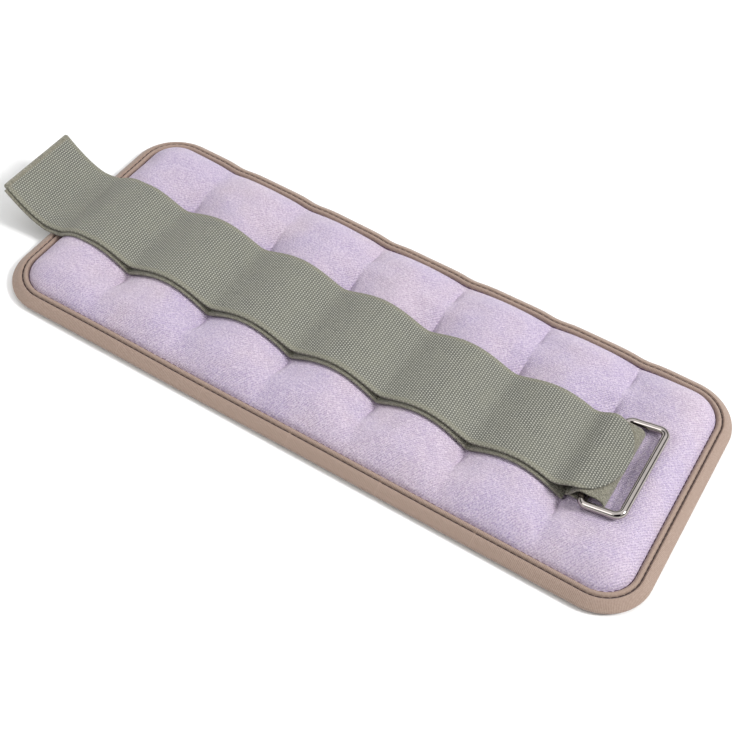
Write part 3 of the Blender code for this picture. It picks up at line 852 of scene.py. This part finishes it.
def travelled(path, height):
    """How much tape lies between the folded end and each place of a path, so the rows run on over a join."""
    whole = run_of(FOLD_X, TIP_X, height)
    return np.interp(path[:, 0], whole[:, 0], arc(whole))


def run_of(low, high, height):
    """A tape's underside in X and Z from low to high, at even steps."""
    x = np.linspace(low, high, max(int(round((high - low) / TAPE_STEP)), 6) + 1)
    return np.stack([x, height(x)], -1)


def folded_end():
    """The fold at the tape's sewn end: a round bead along the end of both tapes, as thick as the two."""
    little = 0.0005
    x = np.array([FOLD_X, FOLD_X + little])
    rise = np.diff(hook_height(x))[0] / little
    normal = np.array([-rise, 1.0]) / np.hypot(rise, 1.0)
    low = np.array([x[0], loop_height(x)[0]])
    high = np.array([x[0], hook_height(x)[0]]) + normal * HOOK_TAPE
    centre, radius = (low + high) / 2, np.linalg.norm(high - low) / 2
    y = STRAP_MID + STRAP_HALF * np.sin(np.linspace(-np.pi / 2, np.pi / 2, 90))
    inset = np.clip((STRAP_HALF - np.abs(y - STRAP_MID)) / 0.0009, 0, 1)
    fat = radius * np.sqrt(np.maximum(1 - (1 - inset) ** 2, 0.08))
    a = np.linspace(0, TURN, 28, endpoint=False)
    x, z = centre[0] + fat[:, None] * np.cos(a), centre[1] + fat[:, None] * np.sin(a)
    points = np.stack([x, np.broadcast_to(y[:, None], x.shape), z], -1)
    bead = swept("folded_end", points, pile, y)
    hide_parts("fold_seam")
    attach(bead, "pocket_1")


folded_end()
for c in range(1, POCKETS):
    low, high = span(c, FOLD_X, TIP_X)
    if c == POCKETS - 1:
        straight = run_of(low, TIP_X - TIP_ROUND, hook_height)
        turn = TIP_X - TIP_ROUND + TIP_ROUND * np.sin(np.linspace(0, np.pi / 2, 26)[1:])
        path = np.concatenate([straight, np.stack([turn, hook_height(turn)], -1)])
    else:
        path = run_of(low, high, hook_height)
    into = np.clip((path[:, 0] - (TIP_X - TIP_ROUND)) / TIP_ROUND, 0, 1)
    half = STRAP_HALF * np.sqrt(np.maximum(1 - into**2, 0.002))
    strap = ribbon(f"hook_tape_{c}", path, HOOK_TAPE, hook_tape, half, travelled(path, hook_height))
    if c < POCKETS - 1:
        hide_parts(f"hook_strap_{c}", f"hook_strap_{c + 1}")
        over_channel(strap)
    else:
        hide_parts(f"hook_strap_{c}")
        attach(strap, f"strap_{c}")
    low, high = span(c, FOLD_X, float(CHANNELS[-1]) - 0.0002)
    path = run_of(low, high, loop_height)
    laid = travelled(path, loop_height)
    loops = ribbon(f"loop_tape_{c}", path, LOOP_TAPE, pile, STRAP_HALF, laid, STRAP_MID - LOOP_ASIDE)
    if c < POCKETS - 1:
        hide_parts(f"loop_strip_{c}", f"loop_strip_{c + 1}")
        over_channel(loops)
    else:
        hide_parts(f"loop_strip_{c}")
        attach(loops, f"pocket_{c}")


# ---- ring and its tab ----
def tab_curve():
    """The tab's inner line in X and Z: under the bar, round a flat fold and back over it to the seam."""
    start, fold = CHANNELS[-1] + 0.0008, BAR_X + TAB_REACH
    under_z = float(CREST - 0.0090 * (1 - fullness(BAR_X, 0.0012))) + 0.0005
    low = BAR_Z - WIRE / 2 - 0.0009
    high = BAR_Z + WIRE / 2 + 0.0008
    turn = np.linspace(-np.pi / 2, np.pi / 2, 24)
    mid, half = (low + high) / 2, (high - low) / 2
    bend = np.stack([fold - TAB_BEND + TAB_BEND * np.cos(turn), mid + half * np.sin(turn)], -1)
    out = np.linspace(start, fold - TAB_BEND, 14)[:-1]
    first = np.stack([out, low - (low - under_z) * 0.4 * (1 - smooth((out - start) / 0.006))], -1)
    back = np.linspace(fold - TAB_BEND, start, 16)[1:]
    fall = high - loop_height(start) - LOOP_TAPE - 0.0006
    last = np.stack([back, high - fall * smooth((BAR_X - 0.001 - back) / 0.0065)], -1)
    return np.concatenate([first, bend, last])


folded = tab_curve()[::-1]
tab = ribbon("ring_tab_tape", folded, TAB, pile, TAB_HALF, arc(folded))
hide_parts("ring_tab")
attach(tab, f"pocket_{POCKETS}")


def ring_wire():
    """A round wire carried round a rounded rectangle, tilted about its hinge bar to lie on the pocket."""
    tilt = np.radians(RING_TILT)
    long = RING_LENGTH - RING_CORNER
    wide = (ring_high[1] - ring_low[1]) / 2 - WIRE / 2 - RING_CORNER
    centres = np.array([[long, wide], [RING_CORNER, wide], [RING_CORNER, -wide], [long, -wide]])
    angle = np.pi * (np.array([0.0, 0.5, 1.0, 1.5])[:, None] + np.linspace(0, 0.5, 12))
    turned = np.stack([np.cos(angle), np.sin(angle)], -1)
    knots = (centres[:, None] + RING_CORNER * turned).reshape(-1, 2)
    stretch = np.roll(knots, -1, axis=0) - knots
    steps = np.maximum((np.linalg.norm(stretch, axis=1) / RING_STEP).astype(int), 1)
    count = np.arange(steps.sum()) - np.repeat(np.cumsum(steps) - steps, steps)
    share = count / np.repeat(steps, steps)
    flat = np.repeat(knots, steps, axis=0) + np.repeat(stretch, steps, axis=0) * share[:, None]
    step = np.roll(flat, -1, axis=0) - np.roll(flat, 1, axis=0)
    step /= np.linalg.norm(step, axis=1, keepdims=True)
    side = np.stack([step[:, 1], -step[:, 0]], -1)
    a = np.linspace(0, TURN, 28, endpoint=False)
    plane = flat[:, None] + side[:, None] * np.cos(a)[None, :, None] * WIRE / 2
    out = np.broadcast_to(np.sin(a)[None, :] * WIRE / 2, plane.shape[:2])
    x = BAR_X + plane[..., 0] * np.cos(tilt) - out * np.sin(tilt)
    z = BAR_Z + plane[..., 0] * np.sin(tilt) + out * np.cos(tilt)
    return np.stack([x, plane[..., 1] + STRAP_MID, z], -1), np.arange(len(flat)) * RING_STEP


rings, along = ring_wire()
wire = swept("ring_wire", rings, nickel, along, closed=True)
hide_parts("ring")
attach(wire, "ring")


# ---- seams that cross the cuff ----
def cross_stitches(name, x, low, high, z, down, material):
    """A row of stitches across the cuff at x, lying on the cloth at height z; down is for the underside."""
    y = np.arange(low + 0.002, high - 0.001, CROSS_PITCH)
    middles = settle(np.stack([np.full_like(y, x), y, np.full_like(y, z)], -1))
    ahead = np.broadcast_to([0.0, 1.0, 0.0], middles.shape)
    ups = np.broadcast_to([0.0, 0.0, -1.0 if down else 1.0], middles.shape)
    return capsules(name, middles, ahead, ups, CROSS_STITCH, CROSS_THREAD, material)


for c in range(1, POCKETS):
    x = float(CHANNELS[c - 1])
    row = cross_stitches(f"channel_stitches_{c}", x, -0.064, 0.064, 0.0009, True, lilac_thread)
    over_channel(row)
tab_top = float(folded[2][1]) + 0.0013
tab_row = cross_stitches("tab_stitches", TAB_SEAM, -0.028, 0.018, tab_top, False, sage_thread)
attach(tab_row, f"pocket_{POCKETS}")

# ---- pieces kept from the frame ----
filling = {"inner_bag": nylon, "iron_fill": grit}
for name, node in frame["nodes"].items():
    kept = filling.get(name.rsplit("_", 1)[0])
    if kept is not None:
        node.data.materials.clear()
        node.data.materials.append(kept)


# ---- floor, light and camera ----
def floor():
    """A wide pale floor at table height. Two constraints drop it when the cuff curls below it."""
    mesh = bpy.data.meshes.new("floor")
    far = 9.0
    mesh.from_pydata([(-far, -far, 0), (far, -far, 0), (far, far, 0), (-far, far, 0)], [], [(0, 1, 2, 3)])
    made, _, shader = new_material("pale_floor", 0.9)
    shader.inputs["Base Color"].default_value = (0.93, 0.93, 0.93, 1.0)
    shader.inputs["Specular IOR Level"].default_value = 0.1
    obj = bpy.data.objects.new("floor", mesh)
    obj.data.materials.append(made)
    bpy.context.scene.collection.objects.link(obj)
    gauge = bpy.data.objects.new("floor_gauge", None)
    gauge.parent = frame["bodies"]["pocket_5"]
    gauge.location = (0.05, 0.0, GAUGE_HEIGHT)
    bpy.context.scene.collection.objects.link(gauge)
    follow = obj.constraints.new("COPY_LOCATION")
    follow.target, follow.use_x, follow.use_y = gauge, False, False
    limit = obj.constraints.new("LIMIT_LOCATION")
    limit.use_max_z, limit.max_z = True, FLOOR_Z


def area_light(name, place, size, power):
    """A round lamp of a size in metres and a power in watts, turned to the cuff's middle."""
    data = bpy.data.lights.new(name, "AREA")
    data.shape, data.size, data.energy = "DISK", size, power
    obj = bpy.data.objects.new(name, data)
    obj.matrix_world = Matrix.Translation(place) @ Vector(place).to_track_quat("Z", "Y").to_matrix().to_4x4()
    bpy.context.scene.collection.objects.link(obj)


def world(strength):
    """Light from all round: a pale horizon, a dark band above it, a bright top and one dark spot."""
    made = bpy.data.worlds.new("studio")
    made.use_nodes = True
    n = Nodes(made.node_tree)
    split = n.add("ShaderNodeSeparateXYZ")
    way = n.add("ShaderNodeTexCoord").outputs["Generated"]
    n.join(way, split.inputs[0])
    shade = n.mix(n.band(split.outputs[2], *HORIZON_ENDS), (1.6, 1.6, 1.6, 1), (0.02, 0.02, 0.022, 1))
    shade = n.mix(n.band(split.outputs[2], *OVERHEAD_BEGINS), shade, (2.3, 2.3, 2.3, 1))
    towards = n.add("ShaderNodeVectorMath", operation="DOT_PRODUCT")
    n.join(way, towards.inputs[0])
    towards.inputs[1].default_value = SPOT_TOWARDS
    shade = n.mix(n.band(towards.outputs["Value"], *SPOT_EDGE), shade, (0.01, 0.01, 0.012, 1))
    background = made.node_tree.nodes["Background"]
    n.join(shade, background.inputs["Color"])
    background.inputs["Strength"].default_value = strength
    bpy.context.scene.world = made


def camera():
    """Looks down over the cuff's near edge, turned a little anticlockwise."""
    az, el, roll = np.radians(CAMERA_ANGLES)
    back = np.array([np.sin(az) * np.cos(el), -np.cos(az) * np.cos(el), np.sin(el)])
    right = np.cross(-back, [0, 0, 1])
    right /= np.linalg.norm(right)
    down = np.cross(-back, right)
    rolled = np.array([[np.cos(roll), -np.sin(roll), 0], [np.sin(roll), np.cos(roll), 0], [0, 0, 1]])
    turned = rolled @ np.array([right, down, -back])
    place = -turned.T @ np.array(CAMERA_OFFSET)
    data = bpy.data.cameras.new("camera")
    data.lens, data.sensor_width = CAMERA_LENS, CAMERA_SENSOR
    data.clip_start, data.clip_end = 0.01, 20.0
    obj = bpy.data.objects.new("camera", data)
    axes = np.eye(4)
    axes[:3, 0], axes[:3, 1], axes[:3, 2], axes[:3, 3] = turned[0], -turned[1], -turned[2], place
    obj.matrix_world = Matrix(axes.tolist())
    bpy.context.scene.collection.objects.link(obj)
    bpy.context.scene.camera = obj


floor()
world(strength=0.52)
area_light("key", place=(1.9, 0.6, 1.8), size=0.8, power=60.0)
area_light("fill", place=(-0.8, -0.8, 1.0), size=1.0, power=5.0)
camera()
bpy.context.scene.view_settings.view_transform = "Standard"
